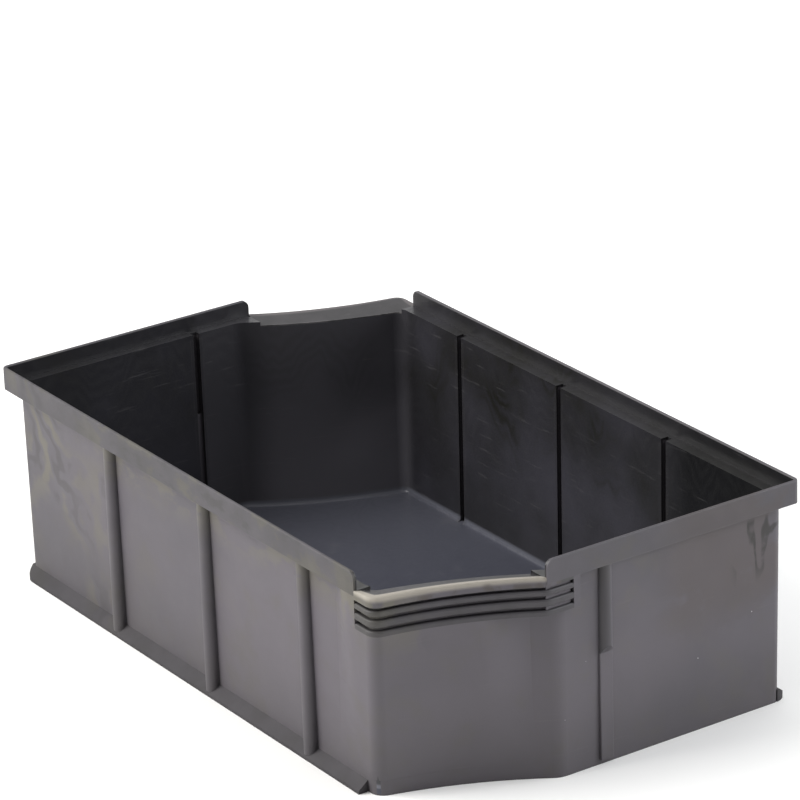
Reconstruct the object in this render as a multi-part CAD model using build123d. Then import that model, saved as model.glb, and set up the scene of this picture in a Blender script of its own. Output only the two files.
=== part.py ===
from build123d import *
import math
import os

# Stacking plastic crate: a single injection moulding, given as one solid for each feature.
# Frame: +X along the long sides, +Y along the short sides, +Z up.
# The origin is the middle of the footprint on the surface that the crate stands on.
# The crate is the same after half a turn about Z, so one half is modelled and then turned.
# front = -Y, back = +Y, right = +X, left = -X.

# Driving dimensions, in millimetres
LENGTH = 500.0           # over the collar, along X
WIDTH = 310.0            # over the collar, along Y
HEIGHT = 160.0
WALL = 2.6               # thickness of walls, rims and slot ribs
FLOOR = 3.5              # thickness of the floor
DRAFT = 0.6              # lean of the walls, in degrees

# Stacking collar
COLLAR_STEP_X = 6.0      # the collar stands this far outside the end walls
COLLAR_STEP_Y = 9.0      # and this far outside the long walls
LEDGE_TOP = 147.2        # the crate above rests at this height
LEDGE_THICK = 3.6
RIM_CORNER_R = 4.5       # plan radius of the collar's full corners
RIM_END_R = 6.0          # radius of the rim's upper corner where it ends
RIM_EDGE_R = 1.2

# Walls
WALL_CORNER_R = 6.0      # plan radius of the two full corners
FLOOR_FILLET_R = 3.0

# Cut corners, where the pick openings are: the wall runs from a front corner to a right bend
PICK_FRONT_X = 192.0     # where the cut starts on the front wall, at the base
PICK_RIGHT_Y = -36.0     # where the cut meets the right wall, at the base
PICK_FRONT_R = 10.0
PICK_RIGHT_R = 15.0
PICK_SAG = 5.5           # how far the cut wall bows inward

# Rims stop and the lip and grip fins start here
RIM_END_X = 189.0
RIM_END_Y = -49.0
LIP_CORNER_X = 209.0     # front corner of the lip
LIP_CORNER_R = 9.0
LIP_BEND_R = 12.0
LIP_SAG = 6.0
LIP_BOTTOM = 141.6
LIP_CREST = 148.8        # top of the lip's rounded outer edge
LIP_RISE = 4.2           # the top slopes down by this much to the inside
LIP_SLOPE = 14.3         # in degrees
LIP_EDGE_R = 2.2
BAND_IN_X = 25.0         # slices of the lip and the band are drawn this far in from the right,
BAND_IN_Y = 35.0         # and from the front, before the walls are cut out of them
BAND_OVERRUN = 8.0       # and this far past their ends

# Grip band below the lip
FIN_TOPS = (139.2, 132.6, 125.1)
FIN_BOTTOMS = (135.0, 127.5, 121.5)
FIN_END_Y = -28.5        # the gaps between the fins end at a web
WEB_END_Y = -23.3
FIN_EDGE_R = 1.4
GROOVE_DEPTH = 3.2       # across the pick opening
GROOVE_SHALLOW = 1.8     # where the band turns on to the right side
GROOVE_END_HOLE = 1.3    # length of the deeper hole at the right end of each groove

# Divider slots and the ribs that carry them
RIB_PITCH = 119.0
RIB_WIDTH = 10.2
RIB_CREST_R = 5.0
SLOT_WIDTH = 5.0
FRONT_RIB_OUT = 5.6      # how far a rib stands off the long wall
RIGHT_RIB_OUT = 4.2      # upper half of the end walls' rib
RIGHT_RIB_LOW_OUT = 0.8  # lower half
RIGHT_RIB_LOW_SKIN = 1.8 # wall left behind the slot in the lower half
RIGHT_RIB_STEP_Z = 80.0
RIGHT_SLOT_STEP_Z = 85.0 # the slot inside deepens above the rib's step
RIGHT_SLOT_FOOT_Z = 6.5  # the slot ends above the floor, over a solid foot
RIGHT_RIB_RAMP = 9.0     # height of the slope between the two halves
CREST_LOW_R = 0.7

# Foot flange along each long side
FLANGE_OUT = 7.5
FLANGE_EDGE = 2.4
FLANGE_RISE = 8.5
FLANGE_END_X = 181.5     # cut square near the pick corner
FLANGE_CORNER_R = 11.0

# Corner post under the front end of the lip, which spreads out along the cut wall
POST_START_X = 146.0     # where the wall starts to swell towards the post
POST_FLUSH_X = 184.0     # where it is flush with the collar
POST_FOOT_Z = 11.0
POST_FOOT_OUT = 0.4
POST_SHARE = 0.62        # share of the lip's length over which the post is flush with it
POST_FADE = (236.0, -46.0)      # where the post has died away in the cut wall
POST_FADE_SLOPE = (0.56, 0.83)  # direction of the cut wall there
POST_INSIDE = (167.0, -120.0)   # a point inside the crate
SMALL_SHARE = 0.01       # share of a bow that gives its direction at a point

# Worked out from the dimensions above
HALF_X = LENGTH / 2
HALF_Y = WIDTH / 2
LEDGE_BOTTOM = LEDGE_TOP - LEDGE_THICK
BAND_BOTTOM = FIN_BOTTOMS[-1]
LEAN = math.tan(math.radians(DRAFT))
SPREAD = LEDGE_BOTTOM * LEAN
FOOT_X = HALF_X - COLLAR_STEP_X - SPREAD
FOOT_Y = HALF_Y - COLLAR_STEP_Y - SPREAD
REACH = 60.0             # size of cutting tools beyond what they cut
ZONE_TOP = HEIGHT + REACH
RIB_PLACES = (-RIB_PITCH, 0, RIB_PITCH)


def block(x0, x1, y0, y1, z0, z1):
    """A box between two corners."""
    size = Box(x1 - x0, y1 - y0, z1 - z0)
    return Pos((x0 + x1) / 2, (y0 + y1) / 2, (z0 + z1) / 2) * size


def prism(points, z0, z1):
    """An upright prism on a polygon."""
    face = make_face(Polyline(*points, close=True))
    return Pos(0, 0, z0) * extrude(face, z1 - z0)


def bowed(start, end, sag):
    """An arc from start to end that bows towards the middle of the crate."""
    run = Vector(*end) - Vector(*start)
    inward = Vector(-run.Y, run.X).normalized()
    middle = (Vector(*start) + Vector(*end)) / 2 + inward * sag
    return ThreePointArc(start, middle, end)


def near(point, vertices):
    """The vertex closest to a point."""
    return min(vertices, key=lambda v: (Vector(v.X, v.Y) - Vector(*point)).length)


def rounded(face, corners):
    """A face with some of its corners rounded: corners holds (point, radius) pairs."""
    for point, radius in corners:
        face = fillet(near(point, face.vertices()), radius)
    return face


def turned(point):
    """The same point after half a turn."""
    return (-point[0], -point[1])


def wall_outline():
    """Outside of the walls at the base: a rectangle with two opposite corners cut."""
    full = (-FOOT_X, -FOOT_Y)
    pick = (PICK_FRONT_X, -FOOT_Y)
    bend = (FOOT_X, PICK_RIGHT_Y)
    edges = []
    half = [
        Line(full, pick),
        bowed(pick, bend, PICK_SAG),
        Line(bend, turned(full)),
    ]
    edges += half
    edges += [Rot(0, 0, 180) * edge for edge in half]
    corners = []
    for point, radius in ((full, WALL_CORNER_R), (pick, PICK_FRONT_R), (bend, PICK_RIGHT_R)):
        corners.append((point, radius))
        corners.append((turned(point), radius))
    return rounded(make_face(edges), corners)


def leaning(face, z0, z1):
    """A face at z0 drawn up to z1, growing outward with the walls' draft."""
    return Pos(0, 0, z0) * extrude(face, z1 - z0, taper=-DRAFT)


def on_bow(start, end, sag, share):
    """The point at a share of the way along a bowed line."""
    run = Vector(*end) - Vector(*start)
    inward = Vector(-run.Y, run.X).normalized()
    point = Vector(*start) + run * share + inward * (4 * sag * share * (1 - share))
    return (point.X, point.Y)


def lip_outline(x0, y1):
    """Plan of the lip or a fin, from x0 on the front to y1 on the right."""
    inner_x = HALF_X - BAND_IN_X
    inner_y = -HALF_Y + BAND_IN_Y
    start = (x0, -HALF_Y)
    corner = (LIP_CORNER_X, -HALF_Y)
    bend = (HALF_X, RIM_END_Y)
    edges = [
        Line(start, corner),
        bowed(corner, bend, LIP_SAG),
    ]
    if y1 > RIM_END_Y:
        edges.append(Line(bend, (HALF_X, y1)))
    edges.append(Line((HALF_X, y1), (inner_x, y1)))
    edges.append(Line((inner_x, y1), (x0, inner_y)))
    edges.append(Line((x0, inner_y), start))
    corners = [(corner, LIP_CORNER_R)]
    if y1 > RIM_END_Y:
        corners.append((bend, LIP_BEND_R))
    return rounded(make_face(edges), corners)


def front_slot(x):
    """Space for a divider's edge in a long wall."""
    depth = HALF_Y - COLLAR_STEP_Y + FRONT_RIB_OUT - WALL
    return block(x - SLOT_WIDTH / 2, x + SLOT_WIDTH / 2, -depth, -depth + REACH / 2, FLOOR, HEIGHT)


def right_slot():
    """Space for a divider's edge in the end wall, deeper in its upper half."""
    deep = HALF_X - COLLAR_STEP_X + RIGHT_RIB_OUT - WALL
    shallow = HALF_X - COLLAR_STEP_X + RIGHT_RIB_LOW_OUT - RIGHT_RIB_LOW_SKIN
    half = SLOT_WIDTH / 2
    upper = block(deep - REACH / 2, deep, -half, half, RIGHT_SLOT_STEP_Z, HEIGHT)
    lower = block(shallow - REACH / 2, shallow, -half, half, RIGHT_SLOT_FOOT_Z, RIGHT_SLOT_STEP_Z)
    return upper + lower


def rib_block(out, crest_r, z0, z1):
    """A rib on a wall that faces -Y with its face at y = 0, rounded along its crest."""
    half = RIB_WIDTH / 2
    root = 2 * WALL + FLOOR_FILLET_R
    section = [(-half, root), (-half, -out), (half, -out), (half, root)]
    face = make_face(Polyline(*section, close=True))
    face = rounded(face, [((-half, -out), crest_r), ((half, -out), crest_r)])
    return Pos(0, 0, z0) * extrude(face, z1 - z0)


# The whole moulding, before it is divided into features
base = wall_outline()
outer = leaning(base, 0, LEDGE_TOP)
inner_base = offset(base, -WALL + FLOOR * LEAN)
cavity = leaning(inner_base, FLOOR, HEIGHT)
cavity = fillet(cavity.edges().group_by(Axis.Z)[0], FLOOR_FILLET_R)

slots_front = [front_slot(x) for x in RIB_PLACES]
slot_right = right_slot()
wall_zone = block(-HALF_X, HALF_X, -HALF_Y, HALF_Y, FLOOR, LEDGE_BOTTOM)
shell = (outer & wall_zone) - cavity

parts = {}

# Floor, with the inside fillet that runs round its edge cut by the walls' plane
floor_zone = block(-HALF_X, HALF_X, -HALF_Y, HALF_Y, 0, FLOOR)
parts["floor"] = (outer & floor_zone) - cavity

# Straight walls, in panels between the ribs
wall_corner_x = HALF_X - COLLAR_STEP_X
wall_corner_y = HALF_Y - COLLAR_STEP_Y


def front_mitre(cx, cy):
    """Everything left of the 45 degree mitre at the front left corner (-cx, -cy)."""
    corners = [(-cx - REACH, -cy - REACH), (-cx + REACH, -cy + REACH), (-cx - REACH, -cy + REACH)]
    return prism(corners, 0, ZONE_TOP)


def right_mitre(cx, cy):
    """Everything behind the 45 degree mitre at the back right corner (cx, cy)."""
    corners = [(cx - REACH, cy - REACH), (cx + REACH, cy + REACH), (cx - REACH, cy + REACH)]
    return prism(corners, 0, ZONE_TOP)


half_rib = RIB_WIDTH / 2
wall_pick_x = PICK_FRONT_X - PICK_FRONT_R
wall_pick_y = PICK_RIGHT_Y + PICK_RIGHT_R / 2
front_stops = [-HALF_X, -RIB_PITCH, 0, RIB_PITCH, wall_pick_x]
for n in range(4):
    x0 = front_stops[n] + (half_rib if n > 0 else 0)
    x1 = front_stops[n + 1] - (half_rib if n < 3 else 0)
    panel = shell & block(x0, x1, -HALF_Y, -HALF_Y + REACH / 2, 0, HEIGHT)
    if n == 0:
        panel = panel - front_mitre(wall_corner_x, wall_corner_y)
    parts[f"front_wall_panel_{n + 1}"] = panel

right_zone_x = HALF_X - REACH / 2
near_panel = shell & block(right_zone_x, HALF_X, wall_pick_y, -half_rib, 0, HEIGHT)
far_panel = shell & block(right_zone_x, HALF_X, half_rib, HALF_Y, 0, HEIGHT)
parts["right_wall_panel_1"] = near_panel
parts["right_wall_panel_2"] = far_panel - right_mitre(wall_corner_x, wall_corner_y)

# Bowed wall across the cut corner
pick_zone = block(wall_pick_x, HALF_X, -HALF_Y, wall_pick_y, 0, HEIGHT)
parts["right_front_pick_wall"] = shell & pick_zone

# Foot flange
flange_profile = make_face(
    Plane.YZ * Polyline(
        (-FOOT_Y - FLANGE_OUT, 0),
        (-FOOT_Y - FLANGE_OUT, FLANGE_EDGE),
        (-FOOT_Y, FLANGE_RISE),
        (-FOOT_Y + WALL, FLANGE_RISE),
        (-FOOT_Y + WALL, 0),
        close=True,
    )
)
flange = Pos(-FOOT_X - 1, 0, 0) * extrude(flange_profile, FLANGE_END_X + FOOT_X + 1, dir=(1, 0, 0))
flange_plan = make_face(
    Polyline(
        (-FOOT_X, -FOOT_Y - FLANGE_OUT),
        (FLANGE_END_X, -FOOT_Y - FLANGE_OUT),
        (FLANGE_END_X, 0),
        (-FOOT_X, 0),
        close=True,
    )
)
flange_plan = rounded(flange_plan, [((-FOOT_X, -FOOT_Y - FLANGE_OUT), FLANGE_CORNER_R)])
flange = (flange & extrude(flange_plan, FLANGE_RISE + 1)) - outer
for slot in slots_front:
    flange = flange - slot
parts["front_foot_flange"] = flange

# Ribs that carry the divider slots
for n, x in enumerate(RIB_PLACES):
    rib = Pos(x, -wall_corner_y, 0) * rib_block(FRONT_RIB_OUT, RIB_CREST_R, 0, LEDGE_BOTTOM)
    low = block(x - half_rib, x + half_rib, -HALF_Y, -HALF_Y + REACH / 2, 0, FLOOR)
    rib = rib - cavity - slots_front[n] - parts["front_foot_flange"] - low
    parts[f"front_slot_rib_{n + 1}"] = rib

right_face = Pos(wall_corner_x, 0, 0) * Rot(0, 0, 90)
upper = right_face * rib_block(RIGHT_RIB_OUT, RIB_CREST_R, RIGHT_RIB_STEP_Z, LEDGE_BOTTOM)
lower = right_face * rib_block(RIGHT_RIB_LOW_OUT, CREST_LOW_R, FLOOR, RIGHT_RIB_STEP_Z)
ramp = make_face(
    Plane.XZ * Polyline(
        (wall_corner_x + RIGHT_RIB_LOW_OUT, RIGHT_RIB_STEP_Z),
        (wall_corner_x + RIGHT_RIB_OUT + WALL, RIGHT_RIB_STEP_Z),
        (wall_corner_x + RIGHT_RIB_OUT + WALL, RIGHT_RIB_STEP_Z + RIGHT_RIB_RAMP),
        close=True,
    )
)
upper = upper - extrude(ramp, RIB_WIDTH, both=True)
parts["right_slot_rib_upper"] = upper - cavity - slot_right
parts["right_slot_rib_lower"] = lower - cavity - slot_right

# Stacking collar: ledge and upright rim on the front and on the right
rect = make_face(Rectangle(LENGTH, WIDTH).edges())
rect = fillet(rect.vertices(), RIM_CORNER_R)
rim_inside = offset(rect, -WALL)
full_rim = extrude(rect - rim_inside, HEIGHT - LEDGE_BOTTOM)
full_rim = Pos(0, 0, LEDGE_BOTTOM) * full_rim
full_rim = fillet(full_rim.edges().group_by(Axis.Z)[-1], RIM_EDGE_R)
full_ledge = Pos(0, 0, LEDGE_BOTTOM) * extrude(rim_inside, LEDGE_THICK) - cavity

front_side = block(-HALF_X, RIM_END_X, -HALF_Y, -HALF_Y + REACH / 2, 0, HEIGHT)
front_side = front_side - front_mitre(HALF_X, HALF_Y)
right_side = block(right_zone_x, HALF_X, RIM_END_Y, HALF_Y, 0, HEIGHT)
right_side = right_side - right_mitre(HALF_X, HALF_Y)

# Each rim ends at the pick opening with a rounded upper corner
front_end = front_side.edges().filter_by(Axis.Y).sort_by(lambda e: e.center().X + e.center().Z)[-1]
right_end = right_side.edges().filter_by(Axis.X).sort_by(lambda e: e.center().Z - e.center().Y)[-1]
parts["front_rim"] = full_rim & fillet(front_end, RIM_END_R)
parts["right_rim"] = full_rim & fillet(right_end, RIM_END_R)

front_ledge = full_ledge & front_side
for slot in slots_front:
    front_ledge = front_ledge - slot
parts["front_ledge"] = front_ledge
parts["right_ledge"] = (full_ledge & right_side) - slot_right

# Lip across the pick opening: its top slopes down to the inside of the cut wall
def band_slice(y1, z0, z1, top_r, bottom_r=0):
    """A slice of the lip or the band between two heights, its outer edges rounded."""
    plan = lip_outline(RIM_END_X - BAND_OVERRUN, y1 + BAND_OVERRUN)
    piece = Pos(0, 0, z0) * extrude(plan, z1 - z0)
    if bottom_r:
        piece = fillet(piece.edges().group_by(Axis.Z)[0], bottom_r)
    if top_r:
        piece = fillet(piece.edges().group_by(Axis.Z)[-1], top_r)
    return piece & block(RIM_END_X, HALF_X, -HALF_Y, y1, z0, z1)


lip_inner_z = LIP_CREST - LIP_RISE
dish_base = offset(base, -WALL + lip_inner_z * LEAN)
dish = Pos(0, 0, lip_inner_z) * extrude(dish_base, LIP_RISE, taper=LIP_SLOPE - 90)
lip_upper = band_slice(RIM_END_Y, LEDGE_BOTTOM, LIP_CREST, LIP_EDGE_R) - cavity - dish
lip_lower = band_slice(FIN_END_Y, LIP_BOTTOM, LEDGE_BOTTOM, 0) - outer
parts["right_front_pick_lip"] = lip_upper + lip_lower

# Grip band: three fins in front of a core, closed by a web at the right end
core_plan = offset(lip_outline(RIM_END_X, FIN_END_Y), -GROOVE_DEPTH)
core = Pos(0, 0, BAND_BOTTOM) * extrude(core_plan, LIP_BOTTOM - BAND_BOTTOM)
backing_x = HALF_X - GROOVE_SHALLOW
backing_y = FIN_END_Y - GROOVE_END_HOLE
backing = block(right_zone_x, backing_x, RIM_END_Y, backing_y, BAND_BOTTOM, LIP_BOTTOM)
core = core + backing - outer
for n, (top, bottom) in enumerate(zip(FIN_TOPS, FIN_BOTTOMS)):
    low_r = 0 if bottom == BAND_BOTTOM else FIN_EDGE_R
    fin = band_slice(FIN_END_Y, bottom, top, FIN_EDGE_R, low_r)
    parts[f"right_front_grip_fin_{n + 1}"] = fin - outer - core
parts["right_front_grip_core"] = core
web = block(right_zone_x, HALF_X, FIN_END_Y, WEB_END_Y, BAND_BOTTOM, LEDGE_BOTTOM)
parts["right_front_grip_end"] = web - outer


# Corner post: the wall swells out to meet the front end of the lip
def post_face(front_y, corner, bend, sag, corner_r):
    """Plan of the post at one height, from the long wall round to the cut wall."""
    start = (POST_START_X, -wall_corner_y + WALL / 2)
    flush = (POST_FLUSH_X, front_y)
    flush_end = on_bow(corner, bend, sag, POST_SHARE)
    half_way = on_bow(corner, bend, sag, POST_SHARE / 2)
    onward = Vector(*on_bow(corner, bend, sag, POST_SHARE + SMALL_SHARE)) - Vector(*flush_end)
    edges = [
        Spline(start, flush, tangents=((1, 0), (1, 0))),
        Line(flush, corner),
        ThreePointArc(corner, half_way, flush_end),
        Spline(flush_end, POST_FADE, tangents=(onward.normalized(), POST_FADE_SLOPE)),
        Line(POST_FADE, POST_INSIDE),
        Line(POST_INSIDE, start),
    ]
    return rounded(make_face(edges), [(corner, corner_r)])


top_corner = (LIP_CORNER_X, -HALF_Y)
top_face = post_face(-HALF_Y, top_corner, (HALF_X, RIM_END_Y), LIP_SAG, LIP_CORNER_R)
foot_y = -FOOT_Y - POST_FOOT_OUT
foot_corner = (PICK_FRONT_X + POST_FOOT_OUT, foot_y)
foot_face = post_face(foot_y, foot_corner, (FOOT_X, PICK_RIGHT_Y), PICK_SAG, PICK_FRONT_R)
post_ends = [Pos(0, 0, POST_FOOT_Z) * foot_face, Pos(0, 0, BAND_BOTTOM) * top_face]
lower_post = loft(post_ends, ruled=True)
upper_post = Pos(0, 0, BAND_BOTTOM) * extrude(top_face, LEDGE_BOTTOM - BAND_BOTTOM)
upper_post = upper_post & block(POST_START_X, RIM_END_X, -HALF_Y, 0, 0, HEIGHT)
parts["right_front_corner_post"] = (lower_post + upper_post) - outer

# The other half, turned about Z
OTHER_SIDE = (("right_front_", "left_back_"), ("front_", "back_"), ("right_", "left_"))
for name in list(parts):
    for old, new in OTHER_SIDE:
        if name.startswith(old):
            parts[name.replace(old, new, 1)] = Rot(0, 0, 180) * parts[name]
            break

os.makedirs("parts", exist_ok=True)
for name, solid in parts.items():
    export_step(solid, f"parts/{name}.step")
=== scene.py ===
import math
import bmesh
import bpy
from mathutils import Matrix, Vector


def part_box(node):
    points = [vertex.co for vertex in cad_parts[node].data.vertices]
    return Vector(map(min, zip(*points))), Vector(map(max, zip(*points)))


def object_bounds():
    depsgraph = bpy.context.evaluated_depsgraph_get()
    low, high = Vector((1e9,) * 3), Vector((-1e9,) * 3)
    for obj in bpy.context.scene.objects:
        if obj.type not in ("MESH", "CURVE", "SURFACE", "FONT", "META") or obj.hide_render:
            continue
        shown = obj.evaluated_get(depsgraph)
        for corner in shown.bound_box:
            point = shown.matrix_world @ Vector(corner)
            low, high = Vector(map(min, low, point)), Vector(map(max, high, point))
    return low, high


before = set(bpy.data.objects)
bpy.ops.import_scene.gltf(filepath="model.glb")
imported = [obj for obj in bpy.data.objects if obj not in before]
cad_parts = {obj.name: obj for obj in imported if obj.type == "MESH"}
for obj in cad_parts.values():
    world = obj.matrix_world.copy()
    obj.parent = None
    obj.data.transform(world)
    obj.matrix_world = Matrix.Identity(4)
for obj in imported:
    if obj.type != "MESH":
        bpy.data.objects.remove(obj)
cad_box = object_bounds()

# Camera
CAM_AZIMUTH = 56.2
CAM_ELEVATION = 22.62
CAM_ROLL = -1.97
CAM_TARGET = (-0.2035, 0.1479, 0.070)
CAM_DISTANCE = 3.430
CAM_LENS = 211.3

# Shape of the crate, in metres
WALL = 0.0026
LEAN = math.tan(math.radians(0.6))
COLLAR_Z = 0.1455          # above this the inside is the stacking collar
RIM_TOP_Z = 0.1592
FLOOR_TOP_Z = 0.0045
PICK_START = (0.192, -0.1445)
PICK_END = (0.2425, -0.036)
PICK_SAG = 0.0055
LIP_START = (0.209, -0.155)
LIP_END = (0.250, -0.049)
LIP_SAG = 0.006
LIP_NOSE = 0.0036          # width of the lip's rounded outer edge
LIP_RUBBED = 0.0058        # width that hands have rubbed on the front lip
UNDERSIDE_Z = 0.001

# Plastic colours, linear
OUT_LIGHT = (0.0855, 0.0765, 0.0895)
OUT_DARK = (0.0645, 0.0590, 0.0700)
OUT_WARM = (0.084, 0.077, 0.071)
OUT_BEIGE = (0.102, 0.094, 0.073)
OUT_BROWN = (0.034, 0.031, 0.031)
OUT_MARK = (0.014, 0.0125, 0.012)
# painted shade on grip fins and slot ribs, only a darker tone on rims and flange
OUT_DARK_TONE_AND_SHADE = (0.022, 0.021, 0.023)
OUT_BLUSH = (0.066, 0.054, 0.056)
IN_WALL = (0.033, 0.032, 0.040)
IN_DARK = (0.019, 0.0185, 0.021)
IN_OLIVE = (0.0075, 0.0072, 0.0050)
IN_SHADE = (0.004, 0.004, 0.004)
PICK_PAINTED_LIGHT_TOP = (0.054, 0.052, 0.059)   # painted light on the far pick wall, at its top
PICK_PAINTED_LIGHT_FOOT = (0.130, 0.125, 0.142)    # and at its foot
IN_FLOOR = (0.034, 0.037, 0.056)
IN_FLOOR_LIGHT = (0.047, 0.050, 0.072)
# painted light: the floor inside is lighter towards its far end
FLOOR_PAINTED_LIGHT_FAR = (0.110, 0.113, 0.138)
# painted highlight along the fillet between floor and walls
IN_FILLET_HIGHLIGHT = (0.160, 0.165, 0.195)
# edge wear and scuffs; on lip and rim edges partly a painted highlight
EDGE_WEAR_AND_HIGHLIGHT = (0.200, 0.192, 0.195)
LIP_CREAM = (0.30, 0.275, 0.235)
LIP_STAIN = (0.050, 0.040, 0.034)
LIP_SLOPE_DARK = (0.026, 0.025, 0.027)
LIP_SLOPE_LIGHT = (0.041, 0.038, 0.041)
# grime and painted shade in creases, also the painted shade on a rib's side
CREASE_DIRT_AND_SHADE = (0.020, 0.019, 0.021)
SPECK = (0.60, 0.60, 0.60)

# Where marks, painted light and painted shade lie, in metres: a pair runs from where a mark starts
# to where it is full
LEFT_PART_X = (-0.10, -0.15)
LONG_SIDE_Y = (-0.10, -0.12)
NEAR_CORNER_X = (0.13, 0.17)
NEAR_CORNER_Z = (0.09, 0.13)
BLUSH_X = (0.20, 0.23)
BLUSH_Y = (0.03, 0.07)
BLUSH_Z = (0.05, 0.10)
DRIP_X = (0.22, 0.23)
DRIP_Y = (0.100, 0.114)
DRIP_Z = (0.090, 0.110)
DRIP_TOP_Z = (0.141, 0.136)
BLOTCH_X = (-0.17, -0.11)
BLOTCH_Y = (-0.138, -0.142)
BLOTCH_Z = (0.108, 0.146)
FOOT_Z = (0.075, 0.0)
DRAPE_Z = (0.158, 0.215)
CORNER_X = (-0.176, -0.196)
CORNER_Y_RUN = 0.006
CORNER_Z = (0.02, 0.15)
LAST_PANEL_X = (0.115, 0.150)
LAST_PANEL_Y = (0.10, 0.12)
FAR_END_X = (-0.225, -0.24)
FLOOR_FAR_X = (0.08, -0.18)
FLOOR_FILLET = 0.004
FILLET_HIGHLIGHT_LOW_Z = (FLOOR_TOP_Z, FLOOR_TOP_Z + 0.0012)
FILLET_HIGHLIGHT_HIGH_Z = (FLOOR_TOP_Z + 0.0045, FLOOR_TOP_Z + 0.002)
LIP_TOP_Z = (0.1440, 0.1475)
LIP_LOW_Z = (0.1458, 0.1432)
SMUDGE = (0.2335, -0.0830, 0.1440)
SMUDGE_REACH = (0.0085, 0.0040)

# Bands of colour left by the flow of the melt: width of one band, and how noise bends them
FLOW_PITCH = 0.040
FLOW_BEND = 0.30
DRIP_PITCH = 0.030
DRIP_BEND = 0.16
DRAPE_PITCH = 0.0135
DRAPE_BEND = 0.20

# How far each mark, painted light and painted shade covers the colour under it
WARM_SHARE = 0.45
FLOW_ELSEWHERE = 0.14
BEIGE_SHARE = 0.75
BROWN_SHARE = 0.50
BLUSH_SHARE = 0.75
DRIP_SHARE = 0.85
BLOTCH_SHARE = 0.85
BLOTCH_DARK_SHARE = 0.6
FOOT_SHADE_SHARE = 0.30
PICK_LIGHT_SHARE = 0.9
LAST_PANEL_SHADE_SHARE = 0.9
FAR_END_SHADE_SHARE = 0.55
FLOOR_LIGHT_SHARE = 0.75
FILLET_HIGHLIGHT_SHARE = 0.6
SMUDGE_SHARE = 0.8
SCUFF_SHARE = 0.10
RIB_SIDE_SHADE_SHARE = 0.6

# Edge wear with painted highlight, creases with grime and painted shade, and specks
EDGE_REACH = 0.0012
EDGE_SAMPLES = 6
CREASE_SAMPLES = 8
SPECKS_PER_METRE = 70.0
SPECK_RADIUS = 0.030       # in cells
SPECK_CELLS = 0.03         # share of cells that hold one

# Gloss and relief of the surface
ROUGH_OUTSIDE = 0.46
ROUGH_OUTSIDE_VARIES = 0.22
ROUGH_INSIDE = 0.30
ROUGH_INSIDE_VARIES = 0.08
ROUGH_SCUFFED = 0.12
PLASTIC_IOR = 1.5
GRAIN_DEPTH = 0.00008
SWELL_DEPTH = 0.0005
MARK_DEPTH = 0.0001

# Lights: azimuth, elevation, distance, size, power, colour
KEY = (-28.0, 36.0, 3.0, 2.0, 104.0, (1.0, 0.985, 0.96))
FILL = (142.0, 25.0, 3.0, 1.6, 60.0, (0.95, 0.97, 1.0))

# Studio: white all round, dimmer on the side towards the near cut corner
DIM_AZIMUTH = 62.0
DIM_ELEVATION = 5.0
DIM_LEVEL = 0.30
DIM_FULL = 0.9             # cosine to the dim direction at which DIM_LEVEL is reached
FLOOR_SIZE = 20
FLOOR_COLOUR = (0.93, 0.93, 0.92, 1)
FLOOR_ROUGH = 0.8


def direction_to(azimuth, elevation):
    """Unit vector from the crate; azimuth 0 is its long side, 90 its right end."""
    a, e = math.radians(azimuth), math.radians(elevation)
    return Vector((math.sin(a) * math.cos(e), -math.cos(a) * math.cos(e), math.sin(e)))


def make_camera():
    a, roll = math.radians(CAM_AZIMUTH), math.radians(CAM_ROLL)
    back = direction_to(CAM_AZIMUTH, CAM_ELEVATION)
    right = Vector((math.cos(a), math.sin(a), 0))
    up = back.cross(right)
    side = right * math.cos(roll) + up * math.sin(roll)
    top = up * math.cos(roll) - right * math.sin(roll)
    data = bpy.data.cameras.new("camera")
    data.lens = CAM_LENS
    data.sensor_width = 36
    data.clip_end = 50
    cam = bpy.data.objects.new("camera", data)
    m = Matrix((side, top, back)).transposed().to_4x4()
    m.translation = Vector(CAM_TARGET) + back * CAM_DISTANCE
    cam.matrix_world = m
    bpy.context.collection.objects.link(cam)
    bpy.context.scene.camera = cam


make_camera()


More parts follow.
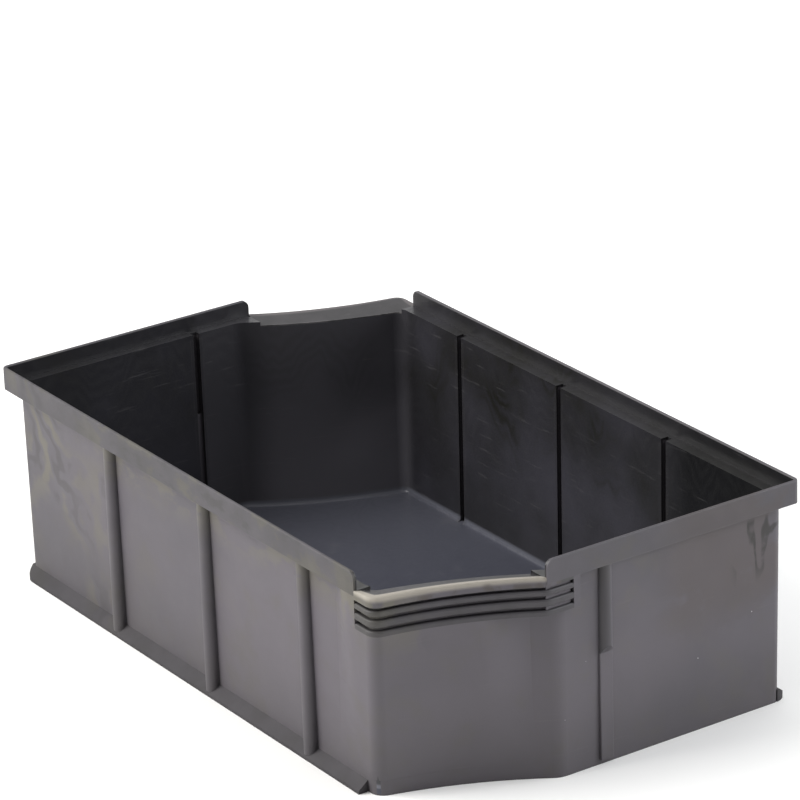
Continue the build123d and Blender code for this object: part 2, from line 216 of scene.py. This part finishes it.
class Graph:
    """A material's nodes. Places are in metres in the crate's frame."""

    def __init__(self, name):
        self.material = bpy.data.materials.new(name)
        self.material.use_nodes = True
        self.tree = self.material.node_tree
        self.shader = self.tree.nodes["Principled BSDF"]
        self.place = self.add("ShaderNodeTexCoord").outputs["Object"]
        split = self.add("ShaderNodeSeparateXYZ", {0: self.place})
        self.x, self.y, self.z = split.outputs

    def add(self, kind, inputs=None, **settings):
        node = self.tree.nodes.new(kind)
        for key, value in settings.items():
            setattr(node, key, value)
        for key, value in (inputs or {}).items():
            if isinstance(value, bpy.types.NodeSocket):
                self.tree.links.new(value, node.inputs[key])
            elif isinstance(value, tuple) and len(value) == 3 and node.inputs[key].type == "RGBA":
                node.inputs[key].default_value = (*value, 1)
            else:
                node.inputs[key].default_value = value
        return node

    def math(self, operation, *values):
        return self.add("ShaderNodeMath", dict(enumerate(values)), operation=operation).outputs[0]

    def product(self, first, *others):
        for other in others:
            first = self.math("MULTIPLY", first, other)
        return first

    def fade(self, value, low, high):
        """0 at low, 1 at high, smooth between; low may be above high."""
        inputs = {"Value": value, "From Min": low, "From Max": high}
        return self.add("ShaderNodeMapRange", inputs, interpolation_type="SMOOTHSTEP").outputs[0]

    def within(self, **ranges):
        """1 where the named coordinates are past the ends of their ranges."""
        fades = [self.fade(getattr(self, axis), *ends) for axis, ends in ranges.items()]
        return self.product(*fades)

    def mix(self, share, a, b):
        inputs = {0: share, 6: a, 7: b}
        return self.add("ShaderNodeMix", inputs, data_type="RGBA").outputs[2]

    def noise(self, scale, detail, rough, stretch=(1, 1, 1), shift=0.0, turn=(0, 0, 0)):
        """Smooth noise around 0.5; shift picks another part of it."""
        inputs = {"Location": (shift, shift, shift), "Rotation": turn, "Scale": stretch}
        inputs["Vector"] = self.place
        where = self.add("ShaderNodeMapping", inputs).outputs[0]
        inputs = {"Vector": where, "Scale": scale, "Detail": detail, "Roughness": rough}
        return self.add("ShaderNodeTexNoise", inputs).outputs["Fac"]

    def specks(self, scale, radius, share):
        """Small round dots in a share of cells of the given density."""
        cell = self.add("ShaderNodeTexVoronoi", {"Vector": self.place, "Scale": scale})
        red = self.add("ShaderNodeSeparateColor", {0: cell.outputs["Color"]}).outputs[0]
        size = self.fade(cell.outputs["Distance"], radius, radius * 0.6)
        return self.product(size, self.math("LESS_THAN", red, share))


def bow_circle(start, end, sag):
    """Radius and centre of the circle that a bowed wall follows in plan."""
    (sx, sy), (ex, ey) = start, end
    chord = math.hypot(ex - sx, ey - sy)
    radius = chord ** 2 / (8 * sag) + sag / 2
    out_x, out_y = (ey - sy) / chord, -(ex - sx) / chord
    cx = (sx + ex) / 2 + out_x * (radius - sag)
    cy = (sy + ey) / 2 + out_y * (radius - sag)
    return radius, cx, cy


def distance_from(g, cx, cy):
    """Distance in plan from an upright axis."""
    dx = g.math("SUBTRACT", g.x, cx)
    dy = g.math("SUBTRACT", g.y, cy)
    return g.math("SQRT", g.math("ADD", g.product(dx, dx), g.product(dy, dy)))


def nose_mask(g, width):
    """1 on the outer edge of both lips, 0 on the slope inside it."""
    radius, cx, cy = bow_circle(LIP_START, LIP_END, LIP_SAG)
    nose = 0.0
    for sign in (1, -1):
        away = distance_from(g, sign * cx, sign * cy)
        edge = g.fade(away, radius + width * 1.25, radius + width * 0.75)
        nose = g.math("MAXIMUM", nose, edge)
    long_side = -LIP_START[1]
    across = g.math("ABSOLUTE", g.y)
    return g.math("MAXIMUM", nose, g.fade(across, long_side - width * 1.2, long_side - width * 0.8))


def inside_mask(g):
    """1 on the inner surfaces of the walls, floor and collar."""
    collar = g.math("GREATER_THAN", g.z, COLLAR_Z)
    below = g.math("SUBTRACT", 1.0, collar)
    masks = []
    for across, wall, rim in ((g.x, WALL_X, RIM_X), (g.y, WALL_Y, RIM_Y)):
        half = g.math("MULTIPLY_ADD", g.z, LEAN, wall)
        half = g.math("ADD", g.product(half, below), g.product(collar, rim))
        masks.append(g.math("LESS_THAN", g.math("ABSOLUTE", across), half))
    radius, cx, cy = bow_circle(PICK_START, PICK_END, PICK_SAG)
    for sign in (1, -1):
        limit = g.math("MULTIPLY_ADD", g.z, -LEAN, radius + WALL / 2)
        limit = g.product(limit, below)
        masks.append(g.math("GREATER_THAN", distance_from(g, sign * cx, sign * cy), limit))
    masks.append(g.math("LESS_THAN", g.z, RIM_TOP_Z))
    masks.append(g.math("GREATER_THAN", g.z, UNDERSIDE_Z))
    return g.product(*masks)


panel_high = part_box("right_wall_panel_2")[1]
front_low, front_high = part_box("front_wall_panel_2")
WALL_X = panel_high[0] - WALL / 2 - panel_high[2] * LEAN
WALL_Y = -front_low[1] - WALL / 2 - front_high[2] * LEAN
RIM_X = cad_box[1][0] - WALL / 2
RIM_Y = cad_box[1][1] - WALL / 2
slot_low, slot_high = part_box("left_slot_rib_upper")
SLOT_Y = (slot_low[1] + slot_high[1]) / 2


def ripples(g, height, pitch):
    """A sine wave of a height field, from 0 to 1."""
    angle = g.math("MULTIPLY", height, 2 * math.pi / pitch)
    return g.math("MULTIPLY_ADD", g.math("SINE", angle), 0.5, 0.5)


def outside_colour(g):
    """Colour of the outer faces, with painted shade towards the foot, and the mottle and flow bands
    that other looks share.
    """
    cloud = g.noise(5.0, detail=3.0, rough=0.55)
    mottle = g.noise(38.0, detail=4.0, rough=0.6)
    colour = g.mix(g.fade(cloud, 0.34, 0.66), OUT_DARK, OUT_LIGHT)
    colour = g.mix(g.product(g.fade(mottle, 0.5, 0.72), WARM_SHARE), colour, OUT_WARM)
    warp = g.noise(8.0, detail=4.0, rough=0.55, shift=3.1)
    field = g.math("MULTIPLY_ADD", g.x, 0.5, g.math("MULTIPLY", g.z, 0.35))
    field = g.math("MULTIPLY_ADD", g.y, 0.4, field)
    field = g.math("MULTIPLY_ADD", warp, FLOW_BEND, field)
    wave = ripples(g, field, FLOW_PITCH)
    left_part = g.within(x=LEFT_PART_X, y=LONG_SIDE_Y)
    right_end = g.within(x=BLUSH_X, y=BLUSH_Y, z=BLUSH_Z)
    near_corner = g.within(x=NEAR_CORNER_X, y=LONG_SIDE_Y, z=NEAR_CORNER_Z)
    where = g.math("MAXIMUM", left_part, near_corner)
    where = g.math("MAXIMUM", where, FLOW_ELSEWHERE)
    patch = g.product(where, g.fade(g.noise(11.0, detail=2.0, rough=0.5, shift=7.7), 0.44, 0.66))
    colour = g.mix(g.product(patch, g.fade(wave, 0.45, 0.95), BEIGE_SHARE), colour, OUT_BEIGE)
    colour = g.mix(g.product(patch, g.fade(wave, 0.30, 0.02), BROWN_SHARE), colour, OUT_BROWN)
    blush = g.noise(15.0, detail=4.0, rough=0.62, stretch=(1, 1, 1.3), shift=2.2)
    blush = g.product(right_end, g.fade(blush, 0.45, 0.54), BLUSH_SHARE)
    colour = g.mix(blush, colour, OUT_BLUSH)
    hang = g.noise(1.0, detail=3.0, rough=0.5, stretch=(26, 26, 9), shift=6.4)
    hang = g.math("MULTIPLY_ADD", hang, DRIP_BEND, g.math("MULTIPLY", g.z, 0.3))
    lines = g.fade(ripples(g, hang, DRIP_PITCH), 0.86, 0.99)
    under = g.product(g.within(x=DRIP_X, y=DRIP_Y, z=DRIP_Z), g.fade(g.z, *DRIP_TOP_Z))
    drips = g.product(under, lines, g.fade(mottle, 0.34, 0.52), DRIP_SHARE)
    colour = g.mix(drips, colour, OUT_MARK)
    near_collar = g.within(x=BLOTCH_X, y=BLOTCH_Y, z=BLOTCH_Z)
    blotch = g.noise(42.0, detail=4.0, rough=0.62, stretch=(0.8, 1, 1.3), shift=9.0)
    pale = g.product(near_collar, g.fade(blotch, 0.46, 0.56), BLOTCH_SHARE)
    colour = g.mix(pale, colour, OUT_BEIGE)
    dark = g.product(near_collar, g.fade(blotch, 0.40, 0.30), BLOTCH_DARK_SHARE)
    colour = g.mix(dark, colour, OUT_BROWN)
    # Painted shade: the outer faces are darker towards the foot.
    foot = g.product(g.fade(g.z, *FOOT_Z), FOOT_SHADE_SHARE)
    return g.mix(foot, colour, OUT_BROWN), mottle, wave


def inside_colour(g):
    """Colour of the walls and floor inside, with painted light on the far pick wall, the floor and
    its fillet, painted shade on the back wall's end panel and the far end wall, and the drapes that
    the gloss follows.
    """
    hang = g.noise(1.0, detail=3.0, rough=0.5, stretch=(19, 19, 7), shift=1.3)
    height = g.math("MULTIPLY_ADD", hang, DRAPE_BEND, g.math("MULTIPLY", g.z, 0.75))
    wave = ripples(g, height, DRAPE_PITCH)
    upper = g.fade(g.math("MULTIPLY_ADD", hang, DRAPE_BEND, g.z), *DRAPE_Z)
    place = g.fade(g.noise(9.0, detail=2.0, rough=0.5, shift=5.0), 0.30, 0.52)
    colour = g.mix(g.fade(g.noise(11.0, detail=3.0, rough=0.6), 0.35, 0.7), IN_DARK, IN_WALL)
    broken = g.product(wave, g.fade(g.noise(21.0, detail=2.0, rough=0.5, shift=8.0), 0.38, 0.60))
    # Painted light: the far pick wall and the far end wall past its slot are lighter inside, most
    # at the foot.
    corner = g.within(x=CORNER_X, y=(SLOT_Y, SLOT_Y + CORNER_Y_RUN))
    pick = g.fade(g.math("MULTIPLY_ADD", place, 0.04, g.z), *CORNER_Z)
    pick = g.mix(pick, PICK_PAINTED_LIGHT_FOOT, PICK_PAINTED_LIGHT_TOP)
    colour = g.mix(g.product(corner, PICK_LIGHT_SHARE), colour, pick)
    upper = g.product(upper, g.math("MULTIPLY_ADD", corner, -0.75, 1.0))
    drapes = g.product(upper, place, g.math("MULTIPLY_ADD", broken, 0.55, 0.42))
    colour = g.mix(drapes, colour, IN_OLIVE)
    # Painted shade on the end panel at the right end of the back wall's inside.
    last = g.within(x=LAST_PANEL_X, y=LAST_PANEL_Y)
    colour = g.mix(g.product(last, LAST_PANEL_SHADE_SHARE), colour, IN_SHADE)
    # Painted shade: the inside of the far end wall is darker.
    colour = g.mix(g.product(g.fade(g.x, *FAR_END_X), FAR_END_SHADE_SHARE), colour, IN_DARK)
    patch = g.noise(9.0, detail=4.0, rough=0.6, stretch=(1.0, 1.8, 1.0))
    base = g.mix(g.fade(patch, 0.42, 0.70), IN_FLOOR, IN_FLOOR_LIGHT)
    # Painted light: the floor is lighter towards its far end.
    base = g.mix(g.product(g.fade(g.x, *FLOOR_FAR_X), FLOOR_LIGHT_SHARE), base, FLOOR_PAINTED_LIGHT_FAR)
    colour = g.mix(g.fade(g.z, FLOOR_TOP_Z + FLOOR_FILLET, FLOOR_TOP_Z), colour, base)
    # Painted highlight on the fillet between floor and walls.
    fillet_highlight = g.product(g.fade(g.z, *FILLET_HIGHLIGHT_LOW_Z), g.fade(g.z, *FILLET_HIGHLIGHT_HIGH_Z), FILLET_HIGHLIGHT_SHARE)
    return g.mix(fillet_highlight, colour, IN_FILLET_HIGHLIGHT), wave


def plastic(
    name,
    lip=0.0,
    whitened=0.0,
    edges=0.0,
    shade=0.0,
    crease=0.004,
    dirt_and_shade=0.65,
    shaded_side_y=None,
    gloss=0.5,
):
    """The crate's recycled plastic.

    lip is the width of a lip's outer edge, whitened how far hands have whitened it,
    edges the wear on real edges, partly a painted highlight, shade an even darkening,
    painted shade on grip fins and slot ribs and only a darker tone on rims and flange,
    crease and dirt_and_shade the reach and strength of the grime and painted shade in
    creases, shaded_side_y two y places between which painted shade comes in on a rib's
    side, gloss the strength of the reflections.
    """
    g = Graph(name)
    inside = inside_mask(g)
    if lip:
        nose = nose_mask(g, lip)
        inside = g.math("SUBTRACT", 1.0, nose)
    outside = g.math("SUBTRACT", 1.0, inside)
    outer, mottle, flow = outside_colour(g)
    inner, drape = inside_colour(g)
    colour = g.mix(inside, outer, inner)
    streak = g.noise(1.0, detail=3.0, rough=0.6, stretch=(30, 30, 420), turn=(0.25, 0.2, 0.1))
    scuff = g.fade(streak, 0.62, 0.74)
    if lip:
        slope = g.mix(g.fade(mottle, 0.3, 0.7), LIP_SLOPE_DARK, LIP_SLOPE_LIGHT)
        colour = g.mix(inside, colour, slope)
        top = g.product(nose, g.fade(g.z, *LIP_TOP_Z))
        patchy = g.fade(g.noise(24.0, detail=3.0, rough=0.55, shift=6.0), 0.22, 0.45)
        rubbed = g.product(top, whitened, g.math("MULTIPLY_ADD", patchy, 0.25, 0.75))
        colour = g.mix(rubbed, colour, LIP_CREAM)
        stain = g.noise(60.0, detail=4.0, rough=0.65, stretch=(1, 1, 0.5), shift=2.0)
        low = g.math("MULTIPLY_ADD", g.fade(g.z, *LIP_LOW_Z), 0.7, 0.04)
        stained = g.product(nose, g.fade(stain, 0.50, 0.62), low)
        colour = g.mix(stained, colour, LIP_STAIN)
        away = g.add("ShaderNodeVectorMath", {0: g.place, 1: SMUDGE}, operation="DISTANCE")
        away = g.math("MULTIPLY_ADD", stain, 0.006, away.outputs["Value"])
        smudge = g.fade(away, *SMUDGE_REACH)
        colour = g.mix(g.product(smudge, SMUDGE_SHARE), colour, LIP_STAIN)
    # Edge wear, on the lip and rim edges partly a painted highlight.
    if edges:
        reach = {"Distance": EDGE_REACH}
        edge = g.add("ShaderNodeAmbientOcclusion", reach, samples=EDGE_SAMPLES, inside=True)
        wear_and_highlight = g.product(g.fade(edge.outputs["AO"], 0.80, 0.30), g.fade(mottle, 0.35, 0.6), edges)
        colour = g.mix(wear_and_highlight, colour, EDGE_WEAR_AND_HIGHLIGHT)
    colour = g.mix(g.product(scuff, SCUFF_SHARE), colour, EDGE_WEAR_AND_HIGHLIGHT)
    # Painted shade on grip fins and slot ribs; on rims and flange only a darker tone.
    if shade:
        colour = g.mix(g.product(g.fade(mottle, -0.6, 0.9), shade), colour, OUT_DARK_TONE_AND_SHADE)
    # Painted shade on one side of a rib, between two y places.
    if shaded_side_y:
        side_shade = g.product(g.fade(g.y, *shaded_side_y), outside, RIB_SIDE_SHADE_SHARE)
        colour = g.mix(side_shade, colour, CREASE_DIRT_AND_SHADE)
    # Grime and painted shade in creases, where ambient occlusion finds nearby surfaces.
    reach = {"Distance": crease}
    crease_dirt_and_shade = g.add("ShaderNodeAmbientOcclusion", reach, samples=CREASE_SAMPLES)
    colour = g.mix(g.product(g.fade(crease_dirt_and_shade.outputs["AO"], 0.78, 0.25), dirt_and_shade), colour, CREASE_DIRT_AND_SHADE)
    colour = g.mix(g.specks(SPECKS_PER_METRE, SPECK_RADIUS, SPECK_CELLS), colour, SPECK)
    g.tree.links.new(colour, g.shader.inputs["Base Color"])

    rough_out = g.math("MULTIPLY_ADD", mottle, ROUGH_OUTSIDE_VARIES, ROUGH_OUTSIDE)
    rough_in = g.math("MULTIPLY_ADD", drape, ROUGH_INSIDE_VARIES, ROUGH_INSIDE)
    rough = g.math("ADD", g.product(rough_out, outside), g.product(rough_in, inside))
    rough = g.math("MULTIPLY_ADD", scuff, ROUGH_SCUFFED, rough)
    g.tree.links.new(rough, g.shader.inputs["Roughness"])
    g.shader.inputs["IOR"].default_value = PLASTIC_IOR
    g.shader.inputs["Specular IOR Level"].default_value = gloss

    grain = g.noise(900.0, detail=2.0, rough=0.6)
    swell = g.noise(26.0, detail=3.0, rough=0.5, shift=4.0)
    marks = g.math("MULTIPLY_ADD", scuff, -0.5, g.math("MULTIPLY", flow, 0.3))
    normal = None
    reliefs = ((grain, 0.35, GRAIN_DEPTH), (swell, 0.6, SWELL_DEPTH), (marks, 0.25, MARK_DEPTH))
    for relief, strength, depth in reliefs:
        inputs = {"Strength": strength, "Distance": depth, "Height": relief}
        if normal:
            inputs["Normal"] = normal
        normal = g.add("ShaderNodeBump", inputs).outputs[0]
    g.tree.links.new(normal, g.shader.inputs["Normal"])
    return g.material


# Painted shade on the side of the upper right slot rib towards low y.
rib_low, rib_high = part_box("right_slot_rib_upper")
RIB_SHADE_Y = (rib_low[1] * 0.15 + rib_high[1] * 0.85, rib_low[1] * 0.45 + rib_high[1] * 0.55)
FINISHES = (
    (
        "right_front_pick_lip",
        plastic("crate_plastic_rubbed_lip", lip=LIP_RUBBED, whitened=0.9, edges=0.3),
    ),
    ("left_back_pick_lip", plastic("crate_plastic_lip", lip=LIP_NOSE, whitened=0.15, edges=0.8)),
    # shade gives the rims and flange a darker tone, and painted shade on the grip fins and slot
    # ribs
    ("front_rim", plastic("crate_plastic_darker_front_rim", edges=0.5, shade=0.65)),
    ("_rim", plastic("crate_plastic_rim", edges=0.5, shade=0.3)),
    ("grip_fin", plastic("crate_plastic_shaded_grip", edges=0.25, shade=0.8)),
    ("_flange", plastic("crate_plastic_flange", shade=0.7, crease=0.008, gloss=0.25)),
    ("_corner_post", plastic("crate_plastic_post", crease=0.003, dirt_and_shade=0.3)),
    ("right_slot_rib_upper", plastic("crate_plastic_side_shaded_rib", crease=0.012, shaded_side_y=RIB_SHADE_Y)),
    ("right_slot_rib_lower", plastic("crate_plastic_low_rib", crease=0.003, dirt_and_shade=0.4)),
    ("_slot_rib", plastic("crate_plastic_shaded_rib", edges=0.25, shade=0.25, crease=0.008)),
    ("", plastic("crate_plastic")),
)
for name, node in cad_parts.items():
    finish = next(material for part, material in FINISHES if part in name)
    node.data.materials.clear()
    node.data.materials.append(finish)


def area_light(name, azimuth, elevation, distance, size, power, colour):
    back = direction_to(azimuth, elevation)
    data = bpy.data.lights.new(name, "AREA")
    data.size = size
    data.energy = power
    data.color = colour
    lamp = bpy.data.objects.new(name, data)
    lamp.location = back * distance
    lamp.rotation_euler = back.to_track_quat("Z", "Y").to_euler()
    bpy.context.collection.objects.link(lamp)


area_light("key_light", *KEY)
area_light("fill_light", *FILL)

world = bpy.data.worlds.new("studio")
bpy.context.scene.world = world
world.use_nodes = True
sky = world.node_tree
direction = sky.nodes.new("ShaderNodeTexCoord").outputs["Generated"]
facing = sky.nodes.new("ShaderNodeVectorMath")
facing.operation = "DOT_PRODUCT"
facing.inputs[1].default_value = direction_to(DIM_AZIMUTH, DIM_ELEVATION)
dim = sky.nodes.new("ShaderNodeMapRange")
dim.interpolation_type = "SMOOTHSTEP"
dim_range = {"From Min": 0.0, "From Max": DIM_FULL, "To Min": 1.0, "To Max": DIM_LEVEL}
for socket, value in dim_range.items():
    dim.inputs[socket].default_value = value
seen = sky.nodes.new("ShaderNodeLightPath").outputs["Is Camera Ray"]
level = sky.nodes.new("ShaderNodeMath")
level.operation = "MAXIMUM"
sky.links.new(direction, facing.inputs[0])
sky.links.new(facing.outputs["Value"], dim.inputs["Value"])
sky.links.new(dim.outputs["Result"], level.inputs[0])
sky.links.new(seen, level.inputs[1])
sky.links.new(level.outputs[0], sky.nodes["Background"].inputs["Strength"])
sky.nodes["Background"].inputs["Color"].default_value = (1, 1, 1, 1)
bpy.context.scene.view_settings.view_transform = "Standard"

ground = bpy.data.meshes.new("studio_floor")
bm = bmesh.new()
bmesh.ops.create_grid(bm, x_segments=1, y_segments=1, size=FLOOR_SIZE)
bm.to_mesh(ground)
bm.free()
floor = bpy.data.objects.new("studio_floor", ground)
bpy.context.collection.objects.link(floor)
pale = bpy.data.materials.new("pale_floor")
pale.use_nodes = True
pale_shader = pale.node_tree.nodes["Principled BSDF"]
pale_shader.inputs["Base Color"].default_value = FLOOR_COLOUR
pale_shader.inputs["Roughness"].default_value = FLOOR_ROUGH
ground.materials.append(pale)
